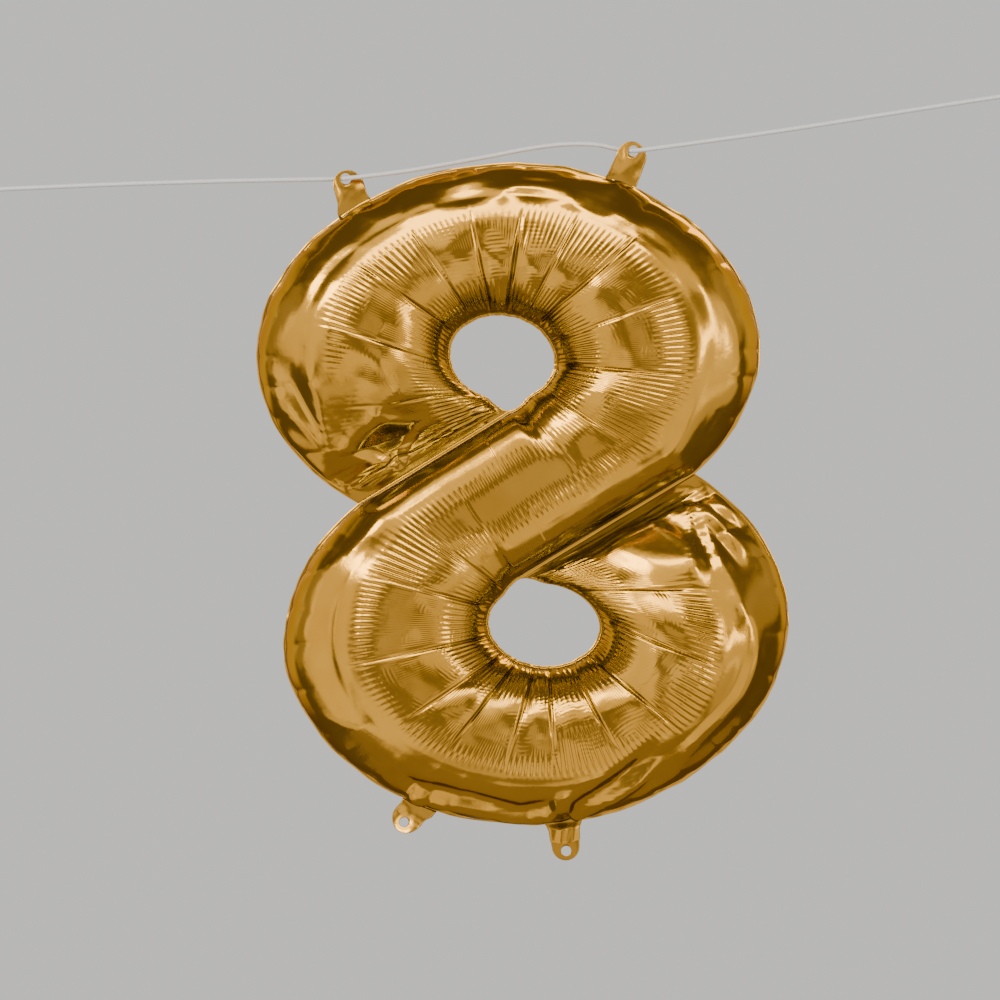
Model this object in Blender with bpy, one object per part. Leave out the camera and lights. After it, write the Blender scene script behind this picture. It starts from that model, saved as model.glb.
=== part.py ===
"""Inflated foil number balloon: an eight made of one S-shaped tube, hung on a string.

Frame: +X to the balloon's right, +Z up, the front faces -Y. The origin is the
middle of the straight line between the centres of the two top eyelets.
Lengths are in metres.
"""
import math

import bmesh
import bpy
from mathutils import Matrix, Vector

MM = 0.001

# ---- driving dimensions (mm) -------------------------------------------------
# outline of each loop of the eight: superellipse centre, half axes, power, tilt
UPPER_LOOP = dict(c=(0.15, -92.9), a=125.3, b=93.6, n=1.94, tilt=-0.057)
LOWER_LOOP = dict(c=(1.0, -232.35), a=125.8, b=96.4, n=1.93, tilt=-0.006)
# the open eye inside each loop
UPPER_EYE = dict(c=(-2.9, -95.96), a=25.9, b=20.7, n=2.0, tilt=-0.274)
LOWER_EYE = dict(c=(5.0, -229.9), a=27.4, b=20.3, n=1.94, tilt=-0.186)
LEFT_NOTCH = (-81.15, -161.1)      # where the loops meet on the left edge
RIGHT_NOTCH = (86.75, -162.4)
UPPER_EYE_TIP = (-2.15, -122.3)    # where the left weld reaches the upper eye
LOWER_EYE_TIP = (-4.15, -206.1)

FILM = 0.4             # modelled thickness of one film ply
PLY_GAP = 0.3          # clearance between the two plies along the seam
SEAM = 2.2             # width of the heat-sealed flange round the outside
EYE_SEAM = 1.5         # width of the flange round each eye
WELD = 1.5             # half width of the two waist welds
TUBE_RATIO = 0.76      # inflated thickness over flat width of the tube
TUBE_MAX = 66.0        # largest inflated thickness
END_TAPER = 56.0       # length over which a tube end closes on its weld

ACROSS = 10            # columns across the tube, flanges included
LOOP_ROWS = 30         # rows along the outer edge of one loop
SHARED_ROWS = 6        # rows for which both waist welds run side by side

EYELET_X = 71.75       # half distance between the two top eyelets
EYELET_R = 2.9
TAB_W = 15.5
TAB_TWIST = 16.0       # degrees that a top tab turns on its own length
STRING_D = 2.2
STRING_END_L = -262.0
STRING_END_R = 266.0


# ---- outline helpers ---------------------------------------------------------
def polar(shape, angle):
    """Distance from a superellipse's centre to its edge, along an angle."""
    t = angle - shape["tilt"]
    n = shape["n"]
    x = abs(math.cos(t)) / shape["a"]
    z = abs(math.sin(t)) / shape["b"]
    return (x ** n + z ** n) ** (-1.0 / n)


def smooth(t):
    t = max(0.0, min(1.0, t))
    return t * t * (3 - 2 * t)


def edge_point(shape, angle, ends=(), reach=0.35):
    """A point on the outline, drawn to the given end points near their angles."""
    cx, cz = shape["c"]
    r = polar(shape, angle)
    for ex, ez in ends:
        ea = math.atan2(ez - cz, ex - cx)
        gap = abs((angle - ea + math.pi) % (2 * math.pi) - math.pi)
        pull = 1 - smooth(gap / reach)
        r += pull * (math.hypot(ex - cx, ez - cz) - polar(shape, ea))
    return Vector((cx + r * math.cos(angle), cz + r * math.sin(angle)))


def angle_of(shape, point):
    return math.atan2(point[1] - shape["c"][1], point[0] - shape["c"][0])


def column_share(j, width, start, end):
    """Share of the way across a row for column j: flange, tube, flange."""
    if j == 0:
        return 0.0
    if j == ACROSS:
        return 1.0
    c = (j - 1) / (ACROSS - 2)
    inner = (1 - math.cos(math.pi * c)) / 2
    low = start / width
    high = 1 - end / width
    return low + (high - low) * inner


# ---- the S-shaped tube: rows along it, columns across it ----------------------
A1 = LOOP_ROWS                       # left side leaves the outer edge
A2 = LOOP_ROWS + SHARED_ROWS         # right side has gone round the upper eye
A3 = A1 + ACROSS                     # left side reaches the lower eye
A4 = A2 + ACROSS                     # right side reaches the outer edge
ROWS = A3 + A2                       # last row lies on the right weld


def loop_sides(outer, eye, notch_a, notch_b, tip, step):
    """Outer and eye points of one loop, for a row counted from its own weld.

    notch_a is the notch at the loop's own weld, notch_b the other one, and step
    is -1 for a clockwise loop, 1 for a counterclockwise one.
    """
    a0 = angle_of(outer, notch_a)
    a1 = angle_of(outer, notch_b)
    sweep = (a1 - a0) * step % (2 * math.pi)
    e0 = angle_of(eye, tip)
    lead = (e0 - a0 + math.pi) % (2 * math.pi) - math.pi
    last = a0 + step * sweep
    def outer_at(t):
        share = min(t / A1, 1.0)
        return edge_point(outer, a0 + step * sweep * share, (notch_a, notch_b))
    def eye_at(t):
        if t <= A1:
            share = t / A1
            ang = a0 + step * sweep * share + lead * (1 - smooth(t / 11.0))
        else:
            rest = (e0 - last) * step % (2 * math.pi)
            ang = last + step * rest * (t - A1) / (A2 - A1)
        return edge_point(eye, ang, (tip,), 0.55)
    return outer_at, eye_at


up_outer, up_eye = loop_sides(UPPER_LOOP, UPPER_EYE, LEFT_NOTCH, RIGHT_NOTCH, UPPER_EYE_TIP, -1)
low_outer, low_eye = loop_sides(LOWER_LOOP, LOWER_EYE, RIGHT_NOTCH, LEFT_NOTCH, LOWER_EYE_TIP, -1)


def weld_point(a, b, share):
    return Vector(a).lerp(Vector(b), share)


def left_side(t):
    if t <= A1:
        return up_outer(t)
    if t < A3:
        k = A3 - t                                   # column of the last row
        wide = (Vector(RIGHT_NOTCH) - Vector(LOWER_EYE_TIP)).length
        return weld_point(LOWER_EYE_TIP, RIGHT_NOTCH, column_share(round(k), wide, EYE_SEAM, SEAM))
    return low_eye(ROWS - t)


def right_side(t):
    if t <= A2:
        return up_eye(t)
    if t < A4:
        k = A4 - t                                   # column of the first row
        wide = (Vector(LEFT_NOTCH) - Vector(UPPER_EYE_TIP)).length
        return weld_point(LEFT_NOTCH, UPPER_EYE_TIP, column_share(round(k), wide, SEAM, EYE_SEAM))
    return low_outer(ROWS - t)


def flange(t, side):
    """Width of the flat strip at the left (0) or right (1) side of a row."""
    if side == 0:
        return SEAM if t <= A1 else (WELD if t < A3 else EYE_SEAM)
    return EYE_SEAM if t <= A2 else (WELD if t < A4 else SEAM)


ROW_T = [0, 0.16] + list(range(1, ROWS)) + [ROWS - 0.16, ROWS]


def band_grid():
    """Plan position and inflated half thickness for each row and column."""
    rows = []
    for t in ROW_T:
        p, q = left_side(t), right_side(t)
        width = (q - p).length
        pts = [p.lerp(q, column_share(j, width, flange(t, 0), flange(t, 1))) for j in range(ACROSS + 1)]
        rows.append((t, pts))
    # distance run along the middle of the tube, from each end
    mid = ACROSS // 2
    run = [0.0]
    for (t0, a), (t1, b) in zip(rows, rows[1:]):
        run.append(run[-1] + (b[mid] - a[mid]).length)
    total = run[-1]
    first, last = run[1], total - run[-2]
    grid = []
    for i, (t, pts) in enumerate(rows):
        back = max(i - 1, 0)
        ahead = min(i + 1, len(rows) - 1)
        along = (rows[ahead][1][mid] - rows[back][1][mid]).normalized()
        across = pts[-1] - pts[0]
        width = abs(along.x * across.y - along.y * across.x)
        thick = min(TUBE_RATIO * width, TUBE_MAX)
        d = min(max(run[i] - first, 0), max(total - last - run[i], 0))
        end = math.sin(min(d / END_TAPER, 1) * math.pi / 2) ** 0.85
        row = []
        for j, p in enumerate(pts):
            c = min(max((j - 1) / (ACROSS - 2), 0.0), 1.0)
            row.append((p.x, p.y, 0.5 * thick * end * math.sin(math.pi * c)))
        grid.append(row)
    return grid


# ---- scene helpers -----------------------------------------------------------
def clear():
    for ob in list(bpy.data.objects):
        bpy.data.objects.remove(ob, do_unlink=True)


def material(name, colour, rough, metal):
    mat = bpy.data.materials.new(name)
    mat.use_nodes = True
    node = mat.node_tree.nodes["Principled BSDF"]
    node.inputs["Base Color"].default_value = (*colour, 1)
    node.inputs["Roughness"].default_value = rough
    node.inputs["Metallic"].default_value = metal
    return mat


def empty(name, at, parent=None):
    ob = bpy.data.objects.new(name, None)
    bpy.context.collection.objects.link(ob)
    ob.parent = parent
    base = parent.matrix_world if parent else Matrix()
    ob.matrix_world = Matrix.Translation(Vector(at) * MM)
    ob.matrix_parent_inverse = base.inverted()
    bpy.context.view_layer.update()
    ob.matrix_world = Matrix.Translation(Vector(at) * MM)
    bpy.context.view_layer.update()
    return ob


def add(name, bm, mat, at=(0, 0, 0), parent=None):
    """Object from a bmesh drawn in world millimetres, with its origin at `at`."""
    bmesh.ops.recalc_face_normals(bm, faces=bm.faces)
    bmesh.ops.transform(bm, matrix=Matrix.Scale(MM, 4) @ Matrix.Translation(-Vector(at)), verts=bm.verts)
    mesh = bpy.data.meshes.new(name)
    bm.to_mesh(mesh)
    bm.free()
    ob = bpy.data.objects.new(name, mesh)
    ob.data.materials.append(mat)
    bpy.context.collection.objects.link(ob)
    ob.parent = parent
    bpy.context.view_layer.update()
    ob.matrix_world = Matrix.Translation(Vector(at) * MM)
    mesh.shade_smooth()
    mesh.set_sharp_from_angle(angle=math.radians(40))
    bpy.context.view_layer.update()
    return ob


def panel(side):
    """One film ply: side -1 is the front, 1 is the back."""
    bm = bmesh.new()
    grid = band_grid()
    nr = len(grid)
    row_of = {t: i for i, t in enumerate(ROW_T)}
    # columns of the first and last row are the same points as the two welds
    same = {}
    for j in range(ACROSS + 1):
        same[(0, j)] = (row_of[A2 + ACROSS - j], ACROSS)
        same[(nr - 1, j)] = (row_of[A3 - j], 0)
    layers = []
    for extra in (0.0, FILM):
        made = {}
        for i in range(nr):
            for j in range(ACROSS + 1):
                key = same.get((i, j), (i, j))
                if key not in made:
                    x, z, h = grid[key[0]][key[1]]
                    made[key] = bm.verts.new((x, side * (PLY_GAP / 2 + h + extra), z))
                made[(i, j)] = made[key]
        layers.append(made)
    edges = {}
    # both layers are cut along the same diagonals, so that they stay parallel
    tris = []
    for i in range(nr - 1):
        for j in range(ACROSS):
            tris.append([(i, j), (i + 1, j), (i + 1, j + 1)])
            tris.append([(i, j), (i + 1, j + 1), (i, j + 1)])
    for made, flip in zip(layers, (False, True)):
        for q in tris:
            vs = []
            for key in q:
                if made[key] not in vs:
                    vs.append(made[key])
            if len(vs) > 2:
                bm.faces.new(vs[::-1] if flip else vs)
                if not flip:
                    for a, b in zip(vs, vs[1:] + vs[:1]):
                        edges.setdefault(frozenset((a, b)), []).append((a, b))
    twin = {layers[0][k]: layers[1][k] for k in layers[0]}
    for pair in edges.values():
        if len(pair) == 1:
            a, b = pair[0]
            bm.faces.new([b, a, twin[a], twin[b]])
    return bm


def tab_plate(length, width, hole_up, hole_r, thick, taper=1.0, sides=24):
    """A flat tab from z=0 up to `length` with a round end and a round hole."""
    bm = bmesh.new()
    rings = []
    half = width / 2
    tip = half * taper
    for y in (-thick / 2, thick / 2):
        outer, inner = [], []
        for k in range(sides):
            a = 2 * math.pi * (k + 0.5) / sides
            d = Vector((math.cos(a), math.sin(a)))
            # walk the ray out of the hole's centre until it leaves the outline
            lo, hi = 0.0, 3 * (length + width)
            for _ in range(40):
                m = (lo + hi) / 2
                x, z = d.x * m, hole_up + d.y * m
                w = half + (tip - half) * min(max(z / (length - tip), 0), 1)
                ok = z >= 0 and abs(x) <= w and (z <= length - tip or math.hypot(x, z - (length - tip)) <= tip)
                lo, hi = (m, hi) if ok else (lo, m)
            outer.append(bm.verts.new((d.x * lo, y, hole_up + d.y * lo)))
            inner.append(bm.verts.new((d.x * hole_r, y, hole_up + d.y * hole_r)))
        rings.append((outer, inner))
    (o0, i0), (o1, i1) = rings
    for k in range(sides):
        n = (k + 1) % sides
        bm.faces.new([o0[k], o0[n], i0[n], i0[k]])
        bm.faces.new([o1[n], o1[k], i1[k], i1[n]])
        bm.faces.new([o0[n], o0[k], o1[k], o1[n]])
        bm.faces.new([i0[k], i0[n], i1[n], i1[k]])
    return bm


def strip_plate(outline, y0, y1):
    """A plate between y0 and y1 from an outline of (x, z) points."""
    bm = bmesh.new()
    a = [bm.verts.new((x, y0, z)) for x, z in outline]
    b = [bm.verts.new((x, y1, z)) for x, z in outline]
    bm.faces.new(a)
    bm.faces.new(b[::-1])
    for k in range(len(a)):
        n = (k + 1) % len(a)
        bm.faces.new([a[n], a[k], b[k], b[n]])
    return bm


def place(bm, root, lean, twist):
    """Turn a plate about its length, lean it in the XZ plane, move it to root."""
    turn = Matrix.Rotation(math.radians(twist), 4, "Z")
    tilt = Matrix.Rotation(math.radians(lean), 4, "Y")
    bmesh.ops.transform(bm, matrix=Matrix.Translation(Vector(root)) @ tilt @ turn, verts=bm.verts)
    return bm


def catmull(points, count_for):
    """Smooth points through the given ones; count_for gives steps per stretch."""
    pts = [Vector(p) for p in points]
    pts = [pts[0] * 2 - pts[1]] + pts + [pts[-1] * 2 - pts[-2]]
    out = []
    for k in range(1, len(pts) - 2):
        p0, p1, p2, p3 = pts[k - 1:k + 3]
        steps = count_for(p1, p2)
        t1 = (p1 - p0).length ** 0.5
        t2 = t1 + (p2 - p1).length ** 0.5
        t3 = t2 + (p3 - p2).length ** 0.5
        for s in range(steps):
            t = t1 + (t2 - t1) * s / steps
            a1 = p0 * ((t1 - t) / t1) + p1 * (t / t1)
            a2 = p1 * ((t2 - t) / (t2 - t1)) + p2 * ((t - t1) / (t2 - t1))
            a3 = p2 * ((t3 - t) / (t3 - t2)) + p3 * ((t - t2) / (t3 - t2))
            b1 = a1 * ((t2 - t) / t2) + a2 * (t / t2)
            b2 = a2 * ((t3 - t) / (t3 - t1)) + a3 * ((t - t1) / (t3 - t1))
            out.append(b1 * ((t2 - t) / (t2 - t1)) + b2 * ((t - t1) / (t2 - t1)))
    out.append(pts[-2])
    return out


# the string's own route: (x, y, z); it passes each eyelet from back to front
STRING_ROUTE = [
    (STRING_END_L, 0.0, 12.2), (-226.0, 0.0, 10.4), (-189.0, 0.0, 8.4), (-156.0, 0.2, 6.3),
    (-126.5, 0.8, 4.3), (-100.0, 1.8, 2.3), (-84.0, 2.9, 1.1), (-76.5, 2.1, 0.5), (-EYELET_X, 0.0, 0.2),
    (-67.0, -2.1, 0.1), (-60.0, -2.9, 0.2), (-40.0, -2.4, 0.9), (-15.0, -1.0, 2.9), (3.0, 0.0, 4.5),
    (20.5, 0.6, 6.2), (38.0, 1.4, 6.7), (54.0, 2.4, 5.0), (61.5, 2.9, 3.2), (67.0, 2.2, 1.5),
    (EYELET_X, 0.0, 0.2), (76.5, -2.1, 0.0), (84.0, -2.9, 0.2), (100.0, -1.8, 0.9), (132.0, -0.6, 2.3),
    (158.0, 0.0, 3.7), (189.5, 0.0, 5.6), (228.0, 0.0, 7.9), (STRING_END_R, 0.0, 10.0),
]


def string_steps(a, b):
    near = min(abs(abs(a.x) - EYELET_X), abs(abs(b.x) - EYELET_X))
    pitch = 2.6 if near < 9 else (5.0 if near < 20 else 8.6)
    return max(1, round((b - a).length / pitch))


def tube(name, points, diameter, mat, parent, closed=False, resolution=2):
    curve = bpy.data.curves.new(name, "CURVE")
    curve.dimensions = "3D"
    curve.bevel_depth = diameter / 2 * MM
    curve.bevel_resolution = resolution
    curve.use_fill_caps = not closed
    spline = curve.splines.new("POLY")
    spline.points.add(len(points) - 1)
    for p, v in zip(spline.points, points):
        p.co = (v[0] * MM, v[1] * MM, v[2] * MM, 1)
    spline.use_cyclic_u = closed
    curve.materials.append(mat)
    ob = bpy.data.objects.new(name, curve)
    bpy.context.collection.objects.link(ob)
    ob.parent = parent
    bpy.context.view_layer.update()
    ob.matrix_world = Matrix()
    return ob


def knot(name, centre, mat, parent):
    bm = bmesh.new()
    bmesh.ops.create_uvsphere(bm, u_segments=12, v_segments=8, radius=1.0)
    size = Matrix.Diagonal((2.6, 2.1, 2.3, 1.0))
    bmesh.ops.transform(bm, matrix=Matrix.Translation(Vector(centre)) @ size, verts=bm.verts)
    return add(name, bm, mat, centre, parent)


def build():
    clear()
    gold = material("gold_film", (0.72, 0.50, 0.12), 0.18, 1.0)
    clearfilm = material("valve_film", (0.80, 0.80, 0.76), 0.35, 0.0)
    white = material("white_string", (0.88, 0.88, 0.86), 0.8, 0.0)

    held = empty("string_frame", (0, 0, 0))
    tabs = empty("eyelet_axis", (0, 0, 0), held)
    balloon = empty("tab_root_axis", (0, 0, -13.5), tabs)
    corner = empty("bottom_left_tab_axis", (-67.3, 0, -314.5), balloon)
    neck = empty("tail_root_axis", (5.2, 0, -329.4), balloon)
    lip = empty("tail_lip_axis", (5.2, -0.45, -329.9), neck)
    flap = empty("valve_flap_axis", (5.2, -0.7, -321.5), balloon)

    add("front_panel", panel(-1), gold, (0, 0, -13.5), balloon)
    add("back_panel", panel(1), gold, (0, 0, -13.5), balloon)

    # top tabs: leaned to the outside and turned so the string can pass
    left = tab_plate(16.7, TAB_W, 12.5, EYELET_R, FILM)
    add("tab_top_left", place(left, (-EYELET_X + 12.5 * math.sin(math.radians(13)), 0, -12.5 * math.cos(math.radians(13))), -13, TAB_TWIST), gold, (0, 0, 0), tabs)
    right = tab_plate(20.6, TAB_W, 16.0, EYELET_R, FILM)
    add("tab_top_right", place(right, (EYELET_X - 16.0 * math.sin(math.radians(27)), 0, -16.0 * math.cos(math.radians(27))), 27, TAB_TWIST), gold, (0, 0, 0), tabs)

    # bottom left tab, with its own eyelet
    low = tab_plate(13.6, 15.0, 8.5, 2.8, FILM)
    add("tab_bottom_left", place(low, (-67.6, 0, -314.8), 180 + 45, 0), gold, (-67.3, 0, -314.5), corner)

    # filler tail: the long back ply carries the hole, the short front ply is the lip
    back = tab_plate(17.9, 16.0, 13.2, 2.8, FILM, taper=0.86)
    add("filler_tail_back", place(back, (5.2, 0.38, -329.5), 180, 0), gold, (5.2, 0, -329.4), neck)
    lip_w = [(-7.6, 0.0), (-7.0, 8.0), (-3.5, 9.0), (0.0, 9.6), (3.5, 9.0), (7.0, 8.0), (7.6, 0.0)]
    front = strip_plate([(5.2 + x, -329.3 - z) for x, z in lip_w], -0.18 - FILM, -0.18)
    add("filler_tail_front", front, gold, (5.2, -0.45, -329.9), lip)

    # two plies of the self-sealing valve, inside the tube above the tail
    valve = [(-7.0, 0.0), (7.0, 0.0), (6.6, 30.0), (5.6, 52.0), (3.5, 55.0), (-3.5, 55.0), (-5.6, 52.0), (-6.6, 30.0)]
    shape = [(5.2 + x, -321.5 + z) for x, z in valve]
    add("valve_back_film", strip_plate(shape, 0.2, 0.2 + FILM), clearfilm, (5.2, 0.4, -321.5), balloon)
    add("valve_front_film", strip_plate(shape, -0.2 - FILM, -0.2), clearfilm, (5.2, -0.7, -321.5), flap)

    # one length of string, a knot and a loop at each end
    route = catmull(STRING_ROUTE, string_steps)
    tube("hanging_string", route, STRING_D, white, held)
    for name, end, sign in (("left", STRING_ROUTE[0], -1), ("right", STRING_ROUTE[-1], 1)):
        centre = (end[0] + sign * 2.9, end[1], end[2] + 0.1)
        knot(name + "_knot", centre, white, held)
        loop = []
        for k in range(20):
            a = 2 * math.pi * k / 20
            grow = 5.0 + 2.6 * (0.5 - 0.5 * math.cos(a))
            loop.append((centre[0] + sign * (4.1 + 7.2 * (1 - math.cos(a)) / 1.0 * 0.62), centre[1],
                         centre[2] + grow * 0.62 * math.sin(a)))
        tube(name + "_end_loop", loop, STRING_D, white, held, closed=True)


build()
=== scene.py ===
"""Looks of the foil number balloon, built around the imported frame."""
import math
import time

import bmesh
import bpy
import numpy as np
from mathutils import Matrix, Vector


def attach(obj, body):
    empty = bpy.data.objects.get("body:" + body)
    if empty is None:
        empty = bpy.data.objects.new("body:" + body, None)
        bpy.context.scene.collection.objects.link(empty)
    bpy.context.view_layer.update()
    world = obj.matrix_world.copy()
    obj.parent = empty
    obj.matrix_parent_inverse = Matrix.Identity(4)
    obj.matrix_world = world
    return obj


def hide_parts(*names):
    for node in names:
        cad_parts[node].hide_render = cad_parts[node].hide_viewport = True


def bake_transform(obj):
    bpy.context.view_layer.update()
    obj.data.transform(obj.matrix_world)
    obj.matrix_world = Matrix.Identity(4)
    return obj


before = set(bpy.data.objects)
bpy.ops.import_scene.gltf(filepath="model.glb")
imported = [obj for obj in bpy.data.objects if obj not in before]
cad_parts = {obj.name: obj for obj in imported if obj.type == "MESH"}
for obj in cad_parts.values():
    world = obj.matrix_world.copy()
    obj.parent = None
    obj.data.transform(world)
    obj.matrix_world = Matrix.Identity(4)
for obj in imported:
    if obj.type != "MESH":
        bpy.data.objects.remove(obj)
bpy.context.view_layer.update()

MM = 0.001

# ------------------------------------------------------------------ dimensions (mm)
UPPER_LOOP = dict(c=(0.15, -92.9), a=125.3, b=93.6, n=1.94, tilt=-0.057)
LOWER_LOOP = dict(c=(1.0, -232.35), a=125.8, b=96.4, n=1.93, tilt=-0.006)
UPPER_EYE = dict(c=(-2.9, -95.96), a=25.9, b=20.7, n=2.0, tilt=-0.274)
LOWER_EYE = dict(c=(5.0, -229.9), a=27.4, b=20.3, n=1.94, tilt=-0.186)
LEFT_NOTCH = (-81.15, -161.1)
RIGHT_NOTCH = (86.75, -162.4)
UPPER_EYE_TIP = (-2.15, -122.3)
LOWER_EYE_TIP = (-4.15, -206.1)
SEAM, EYE_SEAM, WELD = 1.9, 1.3, 1.6
TUBE_RATIO, TUBE_MAX, END_TAPER = 0.76, 66.0, 72.0

# the same numbering of rows along the tube as the frame's panels use
A1, A2, A3, A4, ROWS = 30.0, 36.0, 40.0, 46.0, 76.0


# ------------------------------------------------------------------ plan of the S-shaped tube
def polar(shape, ang):
    t = ang - shape["tilt"]
    return ((np.abs(np.cos(t)) / shape["a"]) ** shape["n"] + (np.abs(np.sin(t)) / shape["b"]) ** shape["n"]) ** (-1.0 / shape["n"])


def smooth(t):
    t = np.clip(t, 0.0, 1.0)
    return t * t * (3 - 2 * t)


def edge(shape, ang, ends=(), reach=0.35):
    cx, cz = shape["c"]
    ang = np.asarray(ang, float)
    r = polar(shape, ang)
    for ex, ez in ends:
        ea = math.atan2(ez - cz, ex - cx)
        gap = np.abs((ang - ea + math.pi) % (2 * math.pi) - math.pi)
        r = r + (1 - smooth(gap / reach)) * (math.hypot(ex - cx, ez - cz) - float(polar(shape, np.float64(ea))))
    return np.stack([cx + r * np.cos(ang), cz + r * np.sin(ang)], -1)


def angle_of(shape, p):
    return math.atan2(p[1] - shape["c"][1], p[0] - shape["c"][0])


def loop_sides(outer, eye, notch_a, notch_b, tip):
    a0, a1, e0 = angle_of(outer, notch_a), angle_of(outer, notch_b), angle_of(eye, tip)
    sweep = (a0 - a1) % (2 * math.pi)
    lead = (e0 - a0 + math.pi) % (2 * math.pi) - math.pi
    last = a0 - sweep

    def outer_at(t):
        return edge(outer, a0 - sweep * np.minimum(t / A1, 1.0), (notch_a, notch_b))

    def eye_at(t):
        first = a0 - sweep * t / A1 + lead * (1 - smooth(t / 11.0))
        rest = (last - e0) % (2 * math.pi)
        second = last - rest * (t - A1) / (A2 - A1)
        return edge(eye, np.where(t <= A1, first, second), (tip,), 0.55)

    return outer_at, eye_at


up_outer, up_eye = loop_sides(UPPER_LOOP, UPPER_EYE, LEFT_NOTCH, RIGHT_NOTCH, UPPER_EYE_TIP)
low_outer, low_eye = loop_sides(LOWER_LOOP, LOWER_EYE, RIGHT_NOTCH, LEFT_NOTCH, LOWER_EYE_TIP)


def lerp2(a, b, s):
    a, b = np.asarray(a, float), np.asarray(b, float)
    return a + (b - a) * s[:, None]


def pick(t, cuts, parts):
    out = parts[-1].copy()
    for cut, part in reversed(list(zip(cuts, parts))):
        out[t <= cut] = part[t <= cut]
    return out


def sides(t):
    left = pick(t, (A1, A3), (up_outer(t), lerp2(RIGHT_NOTCH, LOWER_EYE_TIP, (t - A1) / (A3 - A1)), low_eye(ROWS - t)))
    right = pick(t, (A2, A4), (up_eye(t), lerp2(UPPER_EYE_TIP, LEFT_NOTCH, (t - A2) / (A4 - A2)), low_outer(ROWS - t)))
    return left, right


def strip(t):
    lw = np.where(t <= A1, SEAM, np.where(t < A3, WELD, EYE_SEAM))
    rw = np.where(t <= A2, EYE_SEAM, np.where(t < A4, WELD, SEAM))
    k = np.ones(9) / 9.0
    pad = lambda a: np.convolve(np.pad(a, 4, mode="edge"), k, "valid")
    return pad(lw), pad(rw)


def even_rows(count):
    """Row numbers spread so that the middle of the tube is cut evenly."""
    t = np.linspace(0, ROWS, 6001)
    a, b = sides(t)
    m = a * 0.5 + b * 0.5
    run = np.concatenate([[0], np.cumsum(np.hypot(*np.diff(m, axis=0).T) + 0.05)])
    return np.interp(np.linspace(0, run[-1], count), run, t)


def target(nr, nc):
    """Smooth inflated tube: plan x, z and half thickness h, for nr rows and nc columns."""
    t = even_rows(nr)
    left, right = sides(t)
    lw, rw = strip(t)
    d = right - left
    width = np.hypot(d[:, 0], d[:, 1])
    n = d / width[:, None]
    a = left + n * lw[:, None]
    b = right - n * rw[:, None]
    # the first and last rows start at the weld's edge
    mid = (a + b) / 2
    step = np.hypot(*np.diff(mid, axis=0).T)
    run = np.concatenate([[0], np.cumsum(step)])
    total = run[-1]
    tang = np.gradient(mid, axis=0)
    tang /= np.hypot(tang[:, 0], tang[:, 1])[:, None]
    span = b - a
    perp = np.abs(tang[:, 0] * span[:, 1] - tang[:, 1] * span[:, 0])
    thick = np.minimum(TUBE_RATIO * perp, TUBE_MAX)
    k = max(3, nr // 60) | 1
    thick = np.convolve(np.pad(thick, k // 2, mode="edge"), np.ones(k) / k, "valid")
    dist = np.minimum(run, total - run)
    end = 0.15 * np.clip(dist / 10.0, 0, 1) + 0.85 * (1 - (1 - np.clip((dist - 7.0) / (END_TAPER - 7.0), 0, 1)) ** 1.3)
    k = max(1, int(round(5.0 / (total / nr)))) * 2 + 1
    soft_end = np.convolve(np.pad(end, k // 2, mode="edge"), np.ones(k) / k, "valid")
    end = end + (soft_end - end) * smooth((dist - 10) / 12)
    half = 0.5 * thick * end
    L = np.hypot(span[:, 0], span[:, 1])
    # columns evenly spaced along the section's arc, between an even plan spacing at the ends
    th = np.linspace(0, math.pi, 161)
    lweld = smooth((t - A1 + 1.5) / 2.0) * smooth((A3 + 1.5 - t) / 2.0)
    rweld = smooth((t - A2 + 1.5) / 2.0) * smooth((A4 + 1.5 - t) / 2.0)
    out = np.empty((nr, nc, 3))
    want = np.linspace(0, 1, nc)
    for i in range(nr):
        full = np.where(th < math.pi / 2, 0.5 * lweld[i], 1.1 * rweld[i])
        e = 2.0 / (2.0 + full)
        cs = np.sign(np.cos(th)) * np.abs(np.cos(th)) ** e
        cs[80] = 0.0
        x = (1 - cs) / 2 * L[i]
        h = np.abs(np.sin(th)) ** e * half[i]
        arc = np.concatenate([[0], np.cumsum(np.hypot(np.diff(x), np.diff(h)))])
        s = np.interp(want * arc[-1], arc, x / L[i])
        out[i, :, 0:2] = a[i] + span[i] * s[:, None]
        out[i, :, 2] = np.interp(want * arc[-1], arc, h)
        out[i, 0, 2] = out[i, -1, 2] = 0.0
    return t, out


# ------------------------------------------------------------------ film relaxation
def resample(field, nr, nc):
    """Catmull-Rom resampling of a (rows, columns, k) field."""
    def along(f, n, axis):
        f = np.moveaxis(f, axis, 0)
        m = f.shape[0]
        p = np.linspace(0, m - 1, n)
        i = np.minimum(np.floor(p).astype(int), m - 2)
        u = (p - i).reshape((-1,) + (1,) * (f.ndim - 1))
        g = np.concatenate([2 * f[:1] - f[1:2], f, 2 * f[-1:] - f[-2:-1]])
        p0, p1, p2, p3 = g[i], g[i + 1], g[i + 2], g[i + 3]
        r = 0.5 * (2 * p1 + (p2 - p0) * u + (2 * p0 - 5 * p1 + 4 * p2 - p3) * u * u + (3 * p1 - p0 - 3 * p2 + p3) * u ** 3)
        return np.moveaxis(r, 0, axis)
    return along(along(field, nr, 0), nc, 1)


def noise2(shape, scale_r, scale_c, seed):
    rng = np.random.RandomState(seed)
    a = rng.uniform(-1, 1, (max(4, int(shape[0] / scale_r) + 3), max(4, int(shape[1] / scale_c) + 3)))
    return resample(a[:, :, None], shape[0], shape[1])[:, :, 0]


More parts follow.
